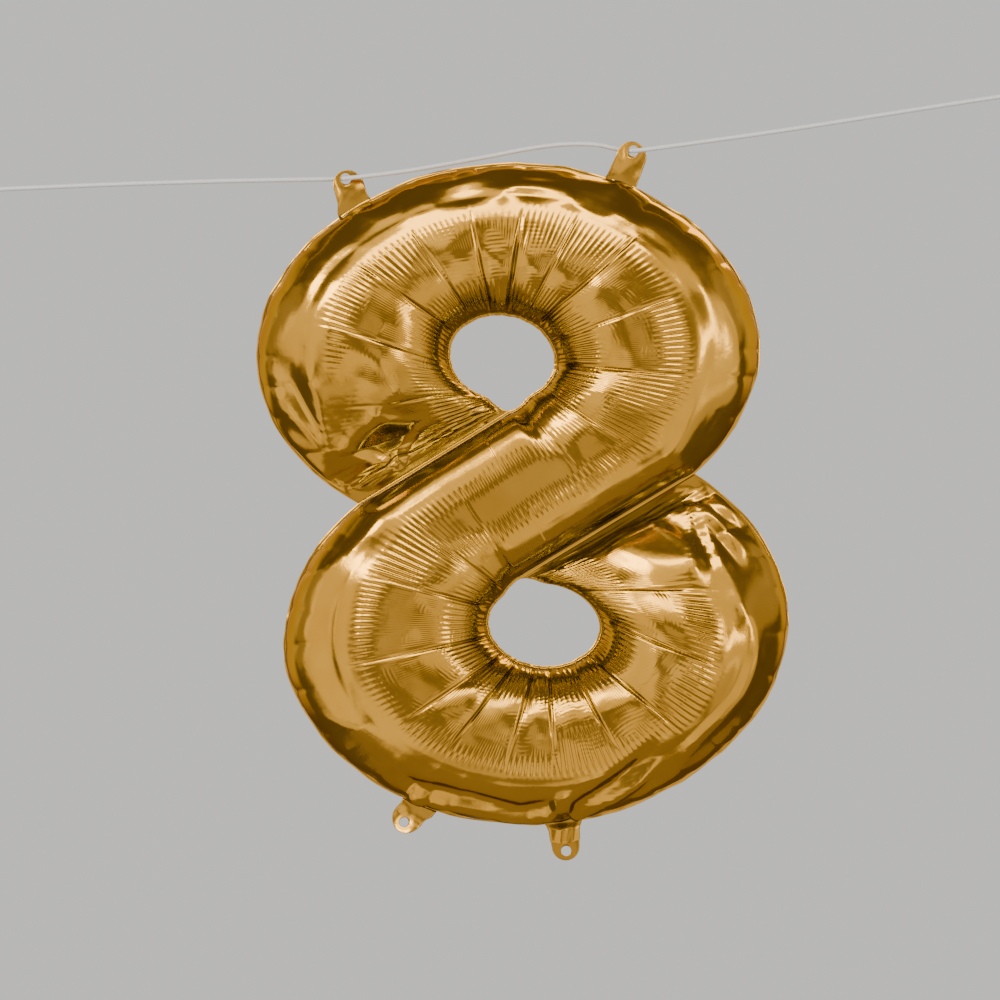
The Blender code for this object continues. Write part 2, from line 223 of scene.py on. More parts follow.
def rest_lengths(x, eps):
    u = x[1:] - x[:-1]
    v = x[:, 1:] - x[:, :-1]
    eu = 0.5 * (eps[1:] + eps[:-1])
    lu = np.sqrt((u ** 2).sum(-1)) * (1 + eu)
    lv = np.sqrt((v ** 2).sum(-1))
    ed = 1 + 0.25 * (eps[1:, 1:] + eps[:-1, 1:] + eps[1:, :-1] + eps[:-1, :-1])
    ue = u[:, :-1]
    uu = (ue ** 2).sum(-1)
    v0, v1 = v[:-1], v[1:]
    d1 = np.sqrt(uu * ed ** 2 + (v1 ** 2).sum(-1) + 2 * ed * (ue * v1).sum(-1))
    d2 = np.sqrt(np.maximum(uu * ed ** 2 + (v0 ** 2).sum(-1) - 2 * ed * (ue * v0).sum(-1), 1e-9))
    return lu, lv, d1, d2


def project(x, a, b, rest, k, wa=0.5, wb=0.5):
    d = x[b] - x[a]
    n = np.sqrt(d[..., 0] ** 2 + d[..., 1] ** 2 + d[..., 2] ** 2) + 1e-12
    c = (k * (n - rest) / n)[..., None] * d
    x[a] += c * 0.5
    x[b] -= c * 0.5


def relax(x, eps, steps, press, bend, pin, home, foundation, damp=0.97, shear=0.35):
    """Dynamic relaxation of a nearly inextensible film under gas pressure."""
    lu, lv, d1, d2 = rest_lengths(home, eps)
    vel = np.zeros_like(x)
    free = 1.0 - pin
    s = slice
    for it in range(steps):
        old = x.copy()
        # pressure along the normals
        du = np.zeros_like(x)
        dv = np.zeros_like(x)
        du[1:-1] = x[2:] - x[:-2]
        dv[:, 1:-1] = x[:, 2:] - x[:, :-2]
        nx = du[..., 1] * dv[..., 2] - du[..., 2] * dv[..., 1]
        ny = du[..., 2] * dv[..., 0] - du[..., 0] * dv[..., 2]
        nz = du[..., 0] * dv[..., 1] - du[..., 1] * dv[..., 0]
        nn = np.sqrt(nx * nx + ny * ny + nz * nz) + 1e-9
        vel[..., 0] += press * nx / nn
        vel[..., 1] += press * ny / nn
        vel[..., 2] += press * nz / nn
        x += vel * free
        if foundation:
            x += (home - x) * (foundation * free)
        for o in (0, 1):
            project(x, (s(o, -1, 2), s(None)), (s(o + 1, None, 2), s(None)), lu[o::2], 1.0)
            project(x, (s(None), s(o, -1, 2)), (s(None), s(o + 1, None, 2)), lv[:, o::2], 1.0)
        for o in (0, 1):
            one = lambda: project(x, (s(o, -1, 2), s(0, -1)), (s(o + 1, None, 2), s(1, None)), d1[o::2], shear)
            two = lambda: project(x, (s(o + 1, None, 2), s(0, -1)), (s(o, -1, 2), s(1, None)), d2[o::2], shear)
            for go in ((one, two) if it % 2 else (two, one)):
                go()
        if bend:
            for o in (0, 1, 2, 3):
                a = x[o:-2:4]
                m = x[o + 1:-1:4][:len(a)]
                b = x[o + 2::4][:len(a)]
                a = a[:len(b)]
                m = m[:len(b)]
                lap = (a + b) * 0.5 - m
                x[o:o + 4 * len(b):4][:len(b)] -= lap * (0.25 * bend)
                x[o + 1:o + 1 + 4 * len(b):4][:len(b)] += lap * (0.5 * bend)
                x[o + 2:o + 2 + 4 * len(b):4][:len(b)] -= lap * (0.25 * bend)
        x[...] = old + (x - old) * free
        vel = (x - old) * damp
    return x


def film_excess(t, sig):
    """Extra length of the film along the tube, over the smooth shape, as a share."""
    upper = smooth((A1 + 5 - t[:, None]) / 8.0)            # 1 on the upper loop
    lower = smooth((t[:, None] - (A4 - 5)) / 8.0)
    q = np.where(upper > 0.5, sig[None, :], np.where(lower > 0.5, 1 - sig[None, :], 0.5 + 0 * sig[None, :]))
    ring = np.maximum(upper, lower)
    crest = np.exp(-((q - 0.60) / 0.17) ** 2)
    rim = np.exp(-(q / 0.09) ** 2)
    eye = smooth((q - 0.80) / 0.16)
    diag = np.exp(-((sig[None, :] - 0.5) / 0.30) ** 2)
    e = 0.006 + ring * (0.042 * crest + 0.030 * rim + 0.055 * eye) + (1 - ring) * 0.022 * diag
    return e


def film(seed=11):
    """Front film: (rows, columns, 3) of plan x, z and height over the seam."""
    rng = np.random.RandomState(seed)
    levels = ((141, 15, 160, 0.0035), (281, 29, 260, 0.0016), (561, 57, 520, 0.0008))
    prev = None
    for nr, nc, steps, press in levels:
        t, home = target(nr, nc)
        eps = film_excess(t, np.linspace(0, 1, nc))
        pin = np.zeros((nr, nc, 1))
        pin[0] = pin[-1] = 1
        pin[:, 0] = pin[:, -1] = 1
        x = home.copy()
        if prev is None:
            lift = rng.uniform(-0.5, 0.5, (nr, nc))
            x[..., 2] += lift * (1 - pin[..., 0]) * np.minimum(1, home[..., 2] / 8)
        else:
            x += resample(prev, nr, nc) * (1 - pin)
            x[..., 2] += rng.uniform(-0.06, 0.06, (nr, nc)) * (1 - pin[..., 0])
        x = relax(x, eps, steps, press, 0.5, pin, home, 0.002)
        prev = x - home
    return t, home, x


# ==== END GEOMETRY


# ------------------------------------------------------------------ materials
def mat_new(name):
    mat = bpy.data.materials.new(name)
    mat.use_nodes = True
    nt = mat.node_tree
    return mat, nt, nt.nodes["Principled BSDF"]


def node(nt, kind, **inputs):
    n = nt.nodes.new(kind)
    for k, v in inputs.items():
        key = k.replace("_", " ")
        if key in n.inputs:
            n.inputs[key].default_value = v
        else:
            setattr(n, k, v)
    return n


def gold_material(name, colour=(0.735, 0.365, 0.036), rough=0.14, seed=0.0, hatch=True):
    mat, nt, bsdf = mat_new(name)
    tc = nt.nodes.new("ShaderNodeTexCoord")
    shift = node(nt, "ShaderNodeVectorMath", operation="ADD")
    shift.inputs[1].default_value = (seed, seed * 0.7, seed * 0.3)
    nt.links.new(tc.outputs["Object"], shift.inputs[0])
    # slow change of tone, as the lacquer over the metal varies
    tone = node(nt, "ShaderNodeTexNoise", Scale=28.0, Detail=3.0)
    nt.links.new(shift.outputs[0], tone.inputs["Vector"])
    ramp = nt.nodes.new("ShaderNodeValToRGB")
    ramp.color_ramp.elements[0].position = 0.35
    ramp.color_ramp.elements[0].color = (colour[0] * 0.93, colour[1] * 0.90, colour[2] * 0.82, 1)
    ramp.color_ramp.elements[1].position = 0.68
    ramp.color_ramp.elements[1].color = (min(1, colour[0] * 1.06), colour[1] * 1.07, colour[2] * 1.16, 1)
    nt.links.new(tone.outputs["Fac"], ramp.inputs["Fac"])
    # painted shade: where the film is seen mirrored in the film, its base colour is swapped for a dull olive grey,
    # which darkens the folds and welds where the film reflects itself
    path = nt.nodes.new("ShaderNodeLightPath")
    film_in_film_painted_shade = nt.nodes.new("ShaderNodeMix")
    film_in_film_painted_shade.data_type = "RGBA"
    sock = [k for k in film_in_film_painted_shade.inputs if k.type == "RGBA"]
    sock[1].default_value = (0.25, 0.262, 0.185, 1)
    nt.links.new(path.outputs["Is Glossy Ray"], film_in_film_painted_shade.inputs[0])
    nt.links.new(ramp.outputs["Color"], sock[0])
    nt.links.new([k for k in film_in_film_painted_shade.outputs if k.type == "RGBA"][0], bsdf.inputs["Base Color"])
    bsdf.inputs["Metallic"].default_value = 1.0
    # fine handling marks change the gloss a little
    marks = node(nt, "ShaderNodeTexNoise", Scale=210.0, Detail=4.0, Roughness=0.6)
    nt.links.new(shift.outputs[0], marks.inputs["Vector"])
    rr = node(nt, "ShaderNodeMapRange")
    rr.inputs["From Min"].default_value = 0.3
    rr.inputs["From Max"].default_value = 0.7
    rr.inputs["To Min"].default_value = rough - 0.03
    rr.inputs["To Max"].default_value = rough + 0.05
    nt.links.new(marks.outputs["Fac"], rr.inputs["Value"])
    nt.links.new(rr.outputs["Result"], bsdf.inputs["Roughness"])
    # film crinkle: broad soft dents and a fine orange-peel
    dent = node(nt, "ShaderNodeTexNoise", Scale=130.0, Detail=2.5, Roughness=0.55)
    nt.links.new(shift.outputs[0], dent.inputs["Vector"])
    fine = node(nt, "ShaderNodeTexNoise", Scale=760.0, Detail=2.0)
    nt.links.new(shift.outputs[0], fine.inputs["Vector"])
    mix = node(nt, "ShaderNodeMath", operation="MULTIPLY_ADD")
    nt.links.new(fine.outputs["Fac"], mix.inputs[0])
    mix.inputs[1].default_value = 0.16
    nt.links.new(dent.outputs["Fac"], mix.inputs[2])
    if hatch:
        grid = nt.nodes.new("ShaderNodeAttribute")
        grid.attribute_name = "film_map"
        part = nt.nodes.new("ShaderNodeSeparateXYZ")
        nt.links.new(grid.outputs["Vector"], part.inputs[0])
        patches = node(nt, "ShaderNodeTexNoise", Scale=85.0, Detail=1.0)
        nt.links.new(shift.outputs[0], patches.inputs["Vector"])
        for channel, pitch, lo, hi in (("Y", 2.1, 0.50, 0.62), ("X", 1.35, 0.56, 0.44)):
            turn = node(nt, "ShaderNodeMath", operation="MULTIPLY")
            nt.links.new(part.outputs[channel], turn.inputs[0])
            turn.inputs[1].default_value = 2 * math.pi / pitch
            wave = node(nt, "ShaderNodeMath", operation="SINE")
            nt.links.new(turn.outputs[0], wave.inputs[0])
            where = nt.nodes.new("ShaderNodeMapRange")
            where.interpolation_type = "SMOOTHSTEP"
            where.inputs["From Min"].default_value = lo
            where.inputs["From Max"].default_value = hi
            nt.links.new(patches.outputs["Fac"], where.inputs["Value"])
            amount = node(nt, "ShaderNodeMath", operation="MULTIPLY")
            nt.links.new(where.outputs["Result"], amount.inputs[0])
            nt.links.new(part.outputs["Z"], amount.inputs[1])
            scaled = node(nt, "ShaderNodeMath", operation="MULTIPLY")
            nt.links.new(amount.outputs[0], scaled.inputs[0])
            scaled.inputs[1].default_value = 0.20
            more = node(nt, "ShaderNodeMath", operation="MULTIPLY_ADD")
            nt.links.new(wave.outputs[0], more.inputs[0])
            nt.links.new(scaled.outputs[0], more.inputs[1])
            nt.links.new(mix.outputs[0], more.inputs[2])
            mix = more
    bump = node(nt, "ShaderNodeBump", Strength=0.15, Distance=0.0006)
    nt.links.new(mix.outputs[0], bump.inputs["Height"])
    nt.links.new(bump.outputs["Normal"], bsdf.inputs["Normal"])
    bsdf.inputs["Coat Weight"].default_value = 0.10
    bsdf.inputs["Specular Tint"].default_value = (0.80, 0.52, 0.20, 1)
    bsdf.inputs["Coat Roughness"].default_value = 0.08
    return mat


def string_material():
    mat, nt, bsdf = mat_new("white_string_cotton")
    tc = nt.nodes.new("ShaderNodeTexCoord")
    fib = node(nt, "ShaderNodeTexNoise", Scale=1600.0, Detail=3.0, Roughness=0.7)
    nt.links.new(tc.outputs["Object"], fib.inputs["Vector"])
    ramp = nt.nodes.new("ShaderNodeValToRGB")
    ramp.color_ramp.elements[0].color = (0.70, 0.69, 0.66, 1)
    ramp.color_ramp.elements[0].position = 0.25
    ramp.color_ramp.elements[1].color = (0.92, 0.91, 0.89, 1)
    ramp.color_ramp.elements[1].position = 0.65
    nt.links.new(fib.outputs["Fac"], ramp.inputs["Fac"])
    nt.links.new(ramp.outputs["Color"], bsdf.inputs["Base Color"])
    bsdf.inputs["Roughness"].default_value = 0.88
    bsdf.inputs["Sheen Weight"].default_value = 0.35
    bsdf.inputs["Sheen Roughness"].default_value = 0.4
    bump = node(nt, "ShaderNodeBump", Strength=0.35, Distance=0.00012)
    nt.links.new(fib.outputs["Fac"], bump.inputs["Height"])
    nt.links.new(bump.outputs["Normal"], bsdf.inputs["Normal"])
    return mat


def valve_material():
    mat, nt, bsdf = mat_new("valve_clear_film")
    tc = nt.nodes.new("ShaderNodeTexCoord")
    n1 = node(nt, "ShaderNodeTexNoise", Scale=180.0, Detail=3.0)
    nt.links.new(tc.outputs["Object"], n1.inputs["Vector"])
    ramp = nt.nodes.new("ShaderNodeValToRGB")
    ramp.color_ramp.elements[0].color = (0.66, 0.66, 0.62, 1)
    ramp.color_ramp.elements[1].color = (0.84, 0.84, 0.80, 1)
    nt.links.new(n1.outputs["Fac"], ramp.inputs["Fac"])
    nt.links.new(ramp.outputs["Color"], bsdf.inputs["Base Color"])
    bsdf.inputs["Roughness"].default_value = 0.32
    bump = node(nt, "ShaderNodeBump", Strength=0.2, Distance=0.0004)
    nt.links.new(n1.outputs["Fac"], bump.inputs["Height"])
    nt.links.new(bump.outputs["Normal"], bsdf.inputs["Normal"])
    return mat


GOLD_FRONT = gold_material("gold_film_front", seed=0.0)
GOLD_BACK = gold_material("gold_film_back", seed=3.1)
GOLD_TAB = gold_material("gold_film_tabs", seed=7.7, rough=0.21, hatch=False)
STRING_MAT = string_material()
VALVE_MAT = valve_material()


def grid_object(name, pts, mat, flip=False, wrap_r=False, wrap_c=False, smooth_shade=True):
    """A mesh from a (rows, columns, 3) array in metres."""
    nr, nc = pts.shape[:2]
    idx = np.arange(nr * nc).reshape(nr, nc)
    r0 = idx if wrap_r else idx[:-1]
    r1 = np.roll(idx, -1, 0) if wrap_r else idx[1:]
    if wrap_c:
        a, b, c, d = r0, r1, np.roll(r1, -1, 1), np.roll(r0, -1, 1)
    else:
        a, b, c, d = r0[:, :-1], r1[:, :-1], r1[:, 1:], r0[:, 1:]
    q = np.stack([a, b, c, d], -1).reshape(-1, 4)
    if flip:
        q = q[:, ::-1]
    mesh = bpy.data.meshes.new(name)
    mesh.vertices.add(nr * nc)
    mesh.vertices.foreach_set("co", np.ascontiguousarray(pts, dtype=np.float32).ravel())
    mesh.loops.add(q.size)
    mesh.loops.foreach_set("vertex_index", np.ascontiguousarray(q, dtype=np.int32).ravel())
    mesh.polygons.add(len(q))
    mesh.polygons.foreach_set("loop_start", np.arange(0, q.size, 4, dtype=np.int32))
    mesh.update(calc_edges=True)
    mesh.validate()
    if smooth_shade:
        mesh.polygons.foreach_set("use_smooth", np.ones(len(mesh.polygons), dtype=bool))
    ob = bpy.data.objects.new(name, mesh)
    mesh.materials.append(mat)
    bpy.context.collection.objects.link(ob)
    return ob


# ------------------------------------------------------------------ the two film skins
def arc_along(x, col):
    d = np.sqrt((np.diff(x[:, col], axis=0) ** 2).sum(-1))
    return np.concatenate([[0], np.cumsum(d)])


def normals_of(x):
    n = np.cross(np.gradient(x, axis=0), np.gradient(x, axis=1))
    n /= np.sqrt((n ** 2).sum(-1, keepdims=True)) + 1e-9
    if n[n.shape[0] // 2, n.shape[1] // 2, 2] < 0:
        n = -n
    return n


def loop_coordinate(t, sig):
    """(q, ring): q is 0 at the outer seam and 1 at the eye; ring is 1 on the loops."""
    upper = smooth((A1 + 4.5 - t[:, None]) / 7.0)
    lower = smooth((t[:, None] - (A4 - 4.5)) / 7.0)
    q = np.where(t[:, None] < (A1 + A4) / 2 + 0 * sig[None, :], sig[None, :], 1 - sig[None, :])
    return q, np.maximum(upper, lower)


def curve_noise(n, pitch_rows, seed, amp=1.0):
    rng = np.random.RandomState(seed)
    k = max(4, int(n / pitch_rows) + 4)
    return amp * np.interp(np.linspace(0, k - 1, n), np.arange(k), rng.uniform(-1, 1, k))


def smooth_noise(n, pitch_rows, seed):
    rng = np.random.RandomState(seed)
    k = max(5, int(n / pitch_rows) + 4)
    return resample(rng.uniform(-1, 1, (k, 2, 1)), n, 2)[:, 0, 0]


def tube_run(x, t, col_up):
    """Distance along the tube in mm, measured at a column of the upper loop and its mirror on the lower."""
    nc = x.shape[1]
    up = arc_along(x, col_up)
    lo = arc_along(x, nc - 1 - col_up)
    mid = (A1 + A4) / 2
    return np.where(t < mid, up, lo + np.interp(mid, t, up) - np.interp(mid, t, lo))


def between(run, cuts):
    """Which stretch between two cuts each row is in, and how far through it."""
    cuts = np.asarray(cuts, float)
    k = np.clip(np.searchsorted(cuts, run, "right") - 1, 0, len(cuts) - 2)
    return k, np.clip((run - cuts[k]) / (cuts[k + 1] - cuts[k]), 0, 1), cuts[k + 1] - cuts[k]


def uneven_cuts(first, last, pitch, spread, rng):
    at, out = first, [first]
    while at < last:
        at += pitch * (1 + rng.uniform(-spread, spread))
        out.append(at)
    return out


def blur_rows(f, n):
    if n < 1:
        return f
    k = np.ones(2 * n + 1) / (2 * n + 1)
    pad = np.pad(f, ((n, n), (0, 0)), mode="edge")
    out = np.zeros_like(f)
    for i, w in enumerate(k):
        out += w * pad[i:i + f.shape[0]]
    return out


CREASES_UP = (3.7, 6.3, 8.9, 11.5, 14.1, 16.6, 19.1, 21.6, 24.2, 27.0, 30.4, 34.2)
CREASES_LOW = (4.0, 6.7, 9.3, 11.9, 14.5, 17.1, 19.6, 22.2, 24.9, 27.8, 31.2, 35.0)
FOLD_FROM = 0.36


NOTCH_FANS = (
    ((-91.0, -138.2), (-60.0, 12.0, 42.0, 66.0, 83.0, 100.0, 114.0, 125.0, 140.0, 200.0),
     (0.0, -0.03, 0.10, 0.02, 0.03, 0.075, -0.055, 0.045, 0.0, 0.0)),
    ((81.9, -171.6), (150.0, 208.0, 267.0, 281.0, 291.0, 300.0, 309.0, 320.0, 332.0, 400.0),
     (0.0, 0.06, 0.13, 0.02, 0.06, -0.025, 0.055, -0.03, 0.02, 0.0)))


def facets(x, t, q, ring, seed):
    """The inner half of each loop is a ring of flat facets that meet at sharp creases."""
    nr, nc = x.shape[:2]
    rng = np.random.RandomState(seed)
    mid = arc_along(x, nc // 2)
    pitch = np.sqrt((np.gradient(x, axis=0) ** 2).sum(-1)) / np.maximum(np.gradient(mid), 1e-6)[:, None]
    out = np.zeros((nr, nc))
    lines = np.zeros((nr, nc))
    seg = np.zeros(nr, int)
    for lower, ts in ((False, CREASES_UP), (True, CREASES_LOW)):
        cs = sorted((ROWS - c if lower else c) + rng.uniform(-0.3, 0.3) for c in ts)
        at = np.interp(cs, t, mid)
        here = (t > cs[0]) & (t < cs[-1])
        k, s, long = between(mid, at)
        seg = np.where(here, k + 1 + (20 if lower else 0), seg)
        turn = rng.uniform(-1, 1, len(at))
        tip = rng.uniform(-1, 1, len(at))
        full = rng.uniform(0.8, 1.15, len(at))
        lobe = full[k][:, None] * (4 * s * (1 - s))[:, None]
        skew = turn[k][:, None] * (s - 0.5)[:, None]
        slope = tip[k][:, None] * (q - 0.66) * 3.0 * (4 * s * (1 - s))[:, None] ** 0.5
        # each facet is broken once across, so that its two halves tilt apart
        own = np.random.RandomState(seed + (61 if lower else 60))
        kink = own.uniform(-0.5, 1.25, len(at))[k][:, None]
        where = (0.61 + own.uniform(-0.05, 0.05, len(at)))[k][:, None]
        broken = np.clip(1 - np.abs(q - where) / 0.17, 0, 1) * (4 * s * (1 - s))[:, None] ** 0.35
        out += here[:, None] * (1.0 * lobe + 3.3 * skew + 2.6 * slope + 1.9 * kink * broken)
        for c, a in zip(cs, at):
            start = FOLD_FROM + rng.uniform(-0.05, 0.05)
            bend = rng.uniform(-1.6, 1.6) * (q - 0.6) + 0.35 * np.sin(q * 11 + rng.uniform(0, 6))
            d = (mid[:, None] - a) * pitch - bend
            ends = smooth((q - start) / 0.06) * smooth((1.0 - q) / 0.05)
            depth = rng.uniform(0.28, 0.5)
            fine = 0.45 + 0.55 * np.clip(pitch, 0, 1)
            lines -= depth * fine * np.exp(-(np.abs(d) / (0.72 * fine)) ** 1.3) * ends
            lines += 0.35 * depth * fine * np.exp(-((np.abs(d) - 1.7 * fine) / (0.8 * fine)) ** 2) * ends
    window = smooth((q - 0.40) / 0.20) * smooth((0.97 - q) / 0.10)
    return blur_rows(out, max(0, int(round(nr / 1401.0)))) * window + lines, seg


def away_from_notches(x, t):
    """The pleats and facets give way to flat folds beside each notch."""
    clear = 1.0
    at = (t / ROWS)[:, None]
    for k, ((ox, oz), knots, rises) in enumerate(NOTCH_FANS):
        gone = 1 - smooth((np.hypot(x[..., 0] - ox, x[..., 1] - oz) - 36) / 18)
        clear = clear * (1 - gone * smooth(((1 - at if k else at) * -1 + 0.36) / 0.03))
    return clear


def detail(x, t, seed, front):
    """Relief of the film along its normals, in mm."""
    nr, nc = x.shape[:2]
    sig = np.linspace(0, 1, nc)
    q, ring = loop_coordinate(t, sig)
    rows = nr / 1401.0
    rng = np.random.RandomState(seed)
    quiet = smooth(np.minimum(t, ROWS - t)[:, None] / 0.8)
    patch = noise2((nr, nc), 46 * rows, 9, seed + 1)
    patch2 = noise2((nr, nc), 70 * rows, 14, seed + 2)
    fac, seg = facets(x, t, q, ring, seed + 7)
    open_film = away_from_notches(x, t)
    out = fac * np.clip(ring + 0.3, 0, 1) * (0.15 + 0.85 * open_film)
    # pleats: short strokes side by side across the tube, in bands that change from facet to facet
    far = (0.46 + 0.22 * rng.uniform(0, 1, 64) ** 2.2)[seg][:, None]
    strong = rng.uniform(0.55, 1.35, 64)[seg][:, None]
    second = rng.uniform(0.35, 1.1, 64)[seg][:, None]
    calm = 0.55 + 0.45 * smooth(0.8 + 1.3 * patch)
    run = tube_run(x, t, int(round((nc - 1) * 0.45)))
    wob = smooth_noise(nr, 40 * rows, seed + 11) * 0.5
    wave = np.cos(2 * math.pi * (run / 2.75 + wob)[:, None] + 0.5 * patch2)
    apart = np.minimum(np.cumsum(np.sqrt((np.gradient(x, axis=0) ** 2).sum(-1)), 0),
                       np.cumsum(np.sqrt((np.gradient(x[::-1], axis=0) ** 2).sum(-1)), 0)[::-1])
    clear = smooth((apart - 34) / 22)
    near_edge = FOLD_FROM + 0.03 * rng.uniform(-1, 1, 64)[seg][:, None]
    band = smooth((q - near_edge + 0.012 * patch2) / 0.035) * smooth((far - q) / 0.07) * ring
    across = (1 - ring) * (smooth((sig[None, :] - 0.33) / 0.04) * smooth((0.47 + 0.02 * patch - sig[None, :]) / 0.04)
                           + 0.8 * smooth((sig[None, :] - 0.56) / 0.04) * smooth((0.68 + 0.02 * patch - sig[None, :]) / 0.04))
    out += 0.24 * wave * calm * clear * (strong * band + across) * open_film
    run = tube_run(x, t, int(round((nc - 1) * 0.78)))
    wave = np.cos(2 * math.pi * (run / 2.3 + 0.6 * smooth_noise(nr, 30 * rows, seed + 12))[:, None])
    out += 0.25 * second * open_film * smooth((q - 0.70) / 0.03) * smooth((0.86 - q) / 0.03) * wave * ring
    # the gathered rim of the eye
    run = tube_run(x, t, nc - 2)
    wave = np.cos(2 * math.pi * (run / 2.4 + 0.5 * smooth_noise(nr, 12 * rows, seed + 31)))[:, None]
    out += 0.34 * ring * smooth((q - 0.85) / 0.05) * wave * (0.75 + 0.5 * patch)
    # a fold runs along the tube where the pleats begin
    for centre, amp, k in ((FOLD_FROM - 0.012, 0.42, 0), (FOLD_FROM - 0.05, 0.25, 1)):
        on = smooth(0.35 + 1.1 * smooth_noise(nr, 130 * rows, seed + 33 + k))[:, None]
        c = centre + 0.014 * smooth_noise(nr, 90 * rows, seed + 35 + k)[:, None]
        out += amp * on * ring * np.exp(-((q - c) / 0.014) ** 2)
        out -= 0.7 * amp * on * ring * np.exp(-((q - c + 0.028) / 0.02) ** 2)
    # long folds beside the waist welds, on the band
    for first, last, side in ((A2, A4, 1), (A1, A3, 0)):
        on = smooth((t - first + 1.0) / 2.0) * smooth((last + 1.0 - t) / 2.0)
        dist = (1 - sig if side else sig)[None, :]
        fold = np.cos(2 * math.pi * (dist * 15 + 0.9 * noise2((nr, nc), 110 * rows, 40, seed + 41 + side)))
        out += 0.40 * on[:, None] * np.exp(-((dist - 0.11) / 0.07) ** 2) * fold
    # the loops' ends close against the welds in folds that run along the weld
    mid = arc_along(x, nc // 2)
    for k, d, notch in ((0, mid, LEFT_NOTCH), (1, mid[-1] - mid, RIGHT_NOTCH)):
        edge_run = np.sqrt((np.diff(x[:, nc // 2], axis=0) ** 2).sum(-1)).mean()
        cols = np.sqrt((np.gradient(x, axis=0) ** 2).sum(-1))
        dd = np.cumsum(cols, 0) if k == 0 else np.cumsum(cols[::-1], 0)[::-1]
        w = dd + 1.3 * noise2((nr, nc), 90 * rows, 22, seed + 45 + k)
        env = smooth(dd / 2.0) * np.exp(-(dd / 14.0) ** 4)
        out += 0.50 * env * (0.6 - np.abs(np.sin(math.pi * w / 3.7)) ** 0.9 * 1.2) * (0.75 + 0.4 * patch)
        # a fan of flat folds opens from just inside the notch
        (ox, oz), knots, rises = NOTCH_FANS[k]
        ax, az = x[..., 0] - ox, x[..., 1] - oz
        r = np.hypot(ax, az)
        phi = (np.degrees(np.arctan2(az, ax)) - knots[0]) % 360.0 + knots[0]
        near = smooth((r - 1.0) / 5) * smooth((56 + 6 * patch - r) / 22) * (dd < 95) * smooth((dd - 4) / 6)
        out += near * np.interp(phi, knots, rises) * np.minimum(r, 40)
    # one flat dent beside the upper loop's weld, with four drawn-out corners
    u, v = x[..., 0] + 63.5, x[..., 1] + 129.9
    u, v = 0.94 * u + 0.34 * v, 0.94 * v - 0.34 * u
    star = ((np.abs(u) / 22.0) ** 0.86 + (np.abs(v) / 21.0) ** 0.86)
    out += 0.22 * np.clip(v - 2, -10, 6) * smooth((1.0 - star) / 0.36) * (mid[:, None] < mid[-1] / 2)
    # the outer seam gathers in uneven lobes
    run = tube_run(x, t, 2)
    cuts = uneven_cuts(-5.0, run[-1] + 30, 19.0, 0.42, rng)
    k, s, long = between(run, cuts)
    height = rng.uniform(0.5, 1.25, len(cuts) + 1)[k]
    reach = rng.uniform(0.10, 0.24, len(cuts) + 1)[k]
    lobe = (height * (1.3 * (4 * s * (1 - s)) ** 0.6 - 0.8))[:, None]
    out += 0.85 * blur_rows(lobe * smooth((reach[:, None] - q) / 0.09) * smooth(q / 0.03), max(0, int(round(rows)))) * ring
    # broad flats and ridges on the outer half
    rid = 1 - 2 * np.abs(noise2((nr, nc), 50 * rows, 9, seed + 51))
    rid2 = 1 - 2 * np.abs(noise2((nr, nc), 21 * rows, 6, seed + 52))
    outer = smooth((q - 0.06) / 0.08) * smooth((FOLD_FROM - 0.02 - q) / 0.08)
    out += ring * outer * (1.7 * rid * smooth(0.75 + patch2) + 0.42 * rid2 * smooth(0.35 - patch2))
    # the lower rim folds over between the bottom tab and the tail
    low = (t > A4)
    px = x[..., 0]
    left_part = smooth((px + 74) / 6) * smooth((3 - px) / 5) * low[:, None] * (x[..., 1] < -232)
    qa = 0.095 + 0.018 * np.sin(px / 9.0) + 0.02 * smooth((px + 20) / 30)
    right_part = smooth((px - 8) / 4) * smooth((62 - px) / 22) * low[:, None] * (x[..., 1] < -232)
    qb = 0.055 + 0.0042 * np.clip(px - 8, 0, 60)
    for part, c in ((left_part, qa), (right_part, qb)):
        out += part * (2.9 * np.exp(-(np.abs(q - c) / 0.034) ** 1.4) - 3.1 * np.exp(-((q - c - 0.085) / 0.045) ** 2))
    out += 0.02 * noise2((nr, nc), 9 * rows, 3, seed + 61)
    # film drawn out to each tab
    for tx, tz, amp, wx, wz in ((-67.5, -18.5, 0.9, 7, 4.0), (63.0, -18.0, 2.6, 7.5, 4.6), (-66.0, -309.0, 1.2, 7, 6.0), (5.2, -320.5, 2.3, 7.5, 8.0)):
        out += (amp if front else 0.5) * np.exp(-((x[..., 0] - tx) / wx) ** 2 - ((x[..., 1] - tz) / wz) ** 2)
    return out * quiet


